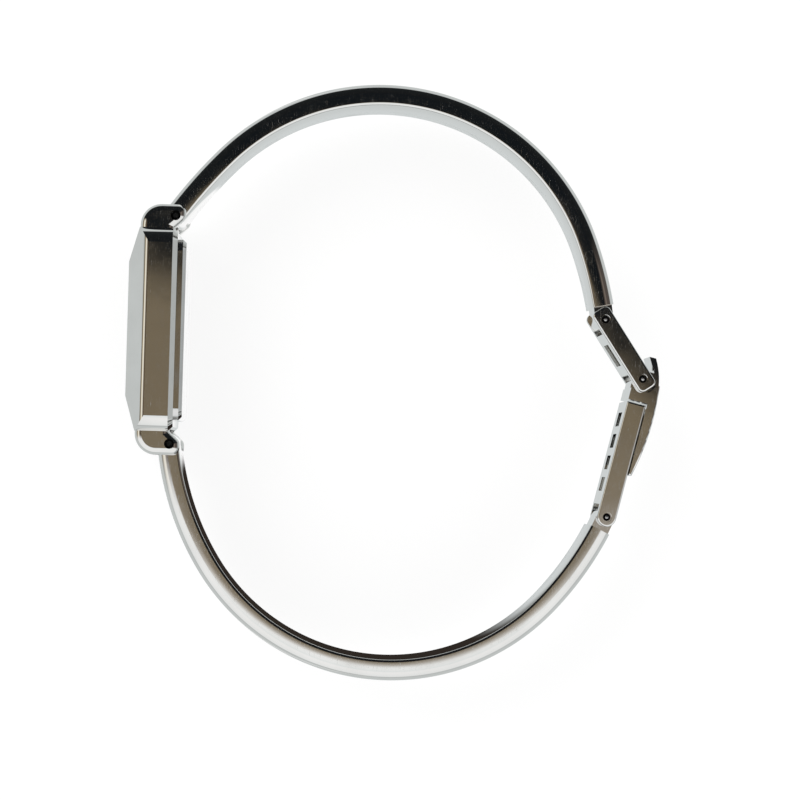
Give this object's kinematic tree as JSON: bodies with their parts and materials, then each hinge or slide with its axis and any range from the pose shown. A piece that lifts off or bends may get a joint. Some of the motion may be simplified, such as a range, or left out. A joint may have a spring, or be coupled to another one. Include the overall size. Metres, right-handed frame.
{
  "type": "bangle watch",
  "caption": "Slim polished steel bangle wristwatch with a small rectangular case, two hinged curved halves and an adjustable fold-over clasp with a slotted ladder plate.",
  "frame": {"origin": "middle of the case back's flat outer face", "axes": "+X from the dial through the case back into the wrist opening, +Y from 12 o'clock to 6 o'clock, +Z along the wrist axis from the crown's side to the opposite flank"},
  "size_m": [0.0557, 0.0622, 0.0196],
  "materials": {
    "polished_steel": "mirror-polished stainless steel with fine wear scratches",
    "case_back_steel": "polished stainless steel, a little worn",
    "pin_steel": "ground steel pins",
    "crystal_glass": "clear flat mineral glass",
    "seal_rubber": "matt rubber",
    "dial_paint": "silvered dial",
    "dial_batons": "polished batons",
    "hand_steel": "dark lacquered steel",
    "holder_plastic": "natural moulded plastic",
    "plate_nickel": "nickel-plated plate",
    "cell_steel": "stainless steel cell",
    "strap_steel": "spring steel",
    "coil_copper": "lacquered copper wire",
    "core_iron": "soft magnetic iron",
    "board_laminate": "green laminate",
    "chip_resin": "black resin",
    "gear_brass": "turned brass",
    "stem_steel": "hardened steel"
  },
  "bodies": {
    "case": {"back_gasket": "seal_rubber", "battery": "cell_steel", "battery_strap": "strap_steel", "case_back": "case_back_steel", "case_body": "polished_steel", "circuit_board": "board_laminate", "circuit_chip": "chip_resin", "coil_core": "core_iron", "coil_winding": "coil_copper", "crown_tube": "stem_steel", "crystal": "crystal_glass", "crystal_gasket": "seal_rubber", "dial": "dial_paint", "hour_markers": "dial_batons", "lug_pins": "pin_steel", "main_plate": "plate_nickel", "movement_holder": "holder_plastic", "movement_screws": "stem_steel", "oscillator_can": "cell_steel", "stator": "core_iron", "train_bridge": "plate_nickel"},
    "upper_half": {"upper_half": "polished_steel"},
    "lower_half": {"lower_half": "polished_steel"},
    "folding_link": {"clasp_link": "polished_steel", "cover_pin": "pin_steel", "link_pin": "pin_steel"},
    "cover": {"clasp_cover": "polished_steel", "cover_catch": "polished_steel"},
    "ladder": {"ladder_pin": "pin_steel", "ladder_plate": "polished_steel"},
    "setting_fork": {"setting_fork": "stem_steel"},
    "crown_and_stem": {"crown": "polished_steel", "stem": "stem_steel", "stem_seal": "seal_rubber"},
    "minute_hand": {"centre_arbor": "gear_brass", "minute_hand": "hand_steel"},
    "hour_hand": {"hour_hand": "hand_steel", "hour_wheel": "gear_brass"},
    "minute_wheel": {"minute_wheel": "gear_brass"},
    "third_wheel": {"third_wheel": "gear_brass"},
    "rotor": {"rotor": "core_iron"}
  },
  "joints": [
    {"name": "cover_hinge", "type": "hinge", "parent": "folding_link", "child": "cover", "pos_m": [0.04793, -0.0037, 0], "axis": [0, 0, 1], "range_deg": [0, 58]},
    {"name": "upper_half_hinge", "type": "hinge", "parent": "case", "child": "upper_half", "pos_m": [-0.00123, 0.01187, 0], "axis": [0, 0, 1], "range_deg": [0, 24]},
    {"name": "lower_half_hinge", "type": "hinge", "parent": "case", "child": "lower_half", "pos_m": [-0.00123, -0.01187, 0], "axis": [0, 0, -1], "range_deg": [0, 24]},
    {"name": "link_hinge", "type": "hinge", "parent": "upper_half", "child": "folding_link", "pos_m": [0.04386, 0.00239, 0], "axis": [0, 0, 1], "range_deg": [0, 38]},
    {"name": "ladder_hinge", "type": "hinge", "parent": "lower_half", "child": "ladder", "pos_m": [0.04455, -0.01821, 0], "axis": [0, 0, -1], "range_deg": [0, 28]},
    {"name": "crown_pull", "type": "slide", "parent": "case", "child": "setting_fork", "axis": [0, 0, -1], "range_m": [0, 0.0008]},
    {"name": "crown_turn", "type": "hinge", "parent": "setting_fork", "child": "crown_and_stem", "pos_m": [-0.00255, 0, -0.0092], "axis": [0, 0, -1], "continuous": true},
    {"name": "minute_hand_turn", "type": "hinge", "parent": "case", "child": "minute_hand", "pos_m": [-0.004, 0, 0], "axis": [1, 0, 0], "continuous": true},
    {"name": "hour_hand_turn", "type": "hinge", "parent": "case", "child": "hour_hand", "pos_m": [-0.004, 0, 0], "axis": [1, 0, 0], "continuous": true},
    {"name": "minute_wheel_turn", "type": "hinge", "parent": "case", "child": "minute_wheel", "pos_m": [-0.0036, -0.00117, -0.00117], "axis": [1, 0, 0], "continuous": true},
    {"name": "third_wheel_turn", "type": "hinge", "parent": "case", "child": "third_wheel", "pos_m": [-0.0023, -0.0015, 0.00101], "axis": [1, 0, 0], "continuous": true},
    {"name": "rotor_turn", "type": "hinge", "parent": "case", "child": "rotor", "pos_m": [-0.0023, -0.00303, 0.00151], "axis": [1, 0, 0], "continuous": true}
  ],
  "couplings": [
    {"joint": "upper_half_hinge", "follows": "cover_hinge", "ratio": 0.41379},
    {"joint": "lower_half_hinge", "follows": "cover_hinge", "ratio": 0.41379},
    {"joint": "link_hinge", "follows": "cover_hinge", "ratio": 0.65517},
    {"joint": "ladder_hinge", "follows": "cover_hinge", "ratio": 0.48276},
    {"joint": "hour_hand_turn", "follows": "minute_hand_turn", "ratio": 0.083333},
    {"joint": "minute_wheel_turn", "follows": "minute_hand_turn", "ratio": -0.33333},
    {"joint": "third_wheel_turn", "follows": "minute_hand_turn", "ratio": -10},
    {"joint": "rotor_turn", "follows": "minute_hand_turn", "ratio": 90}
  ]
}
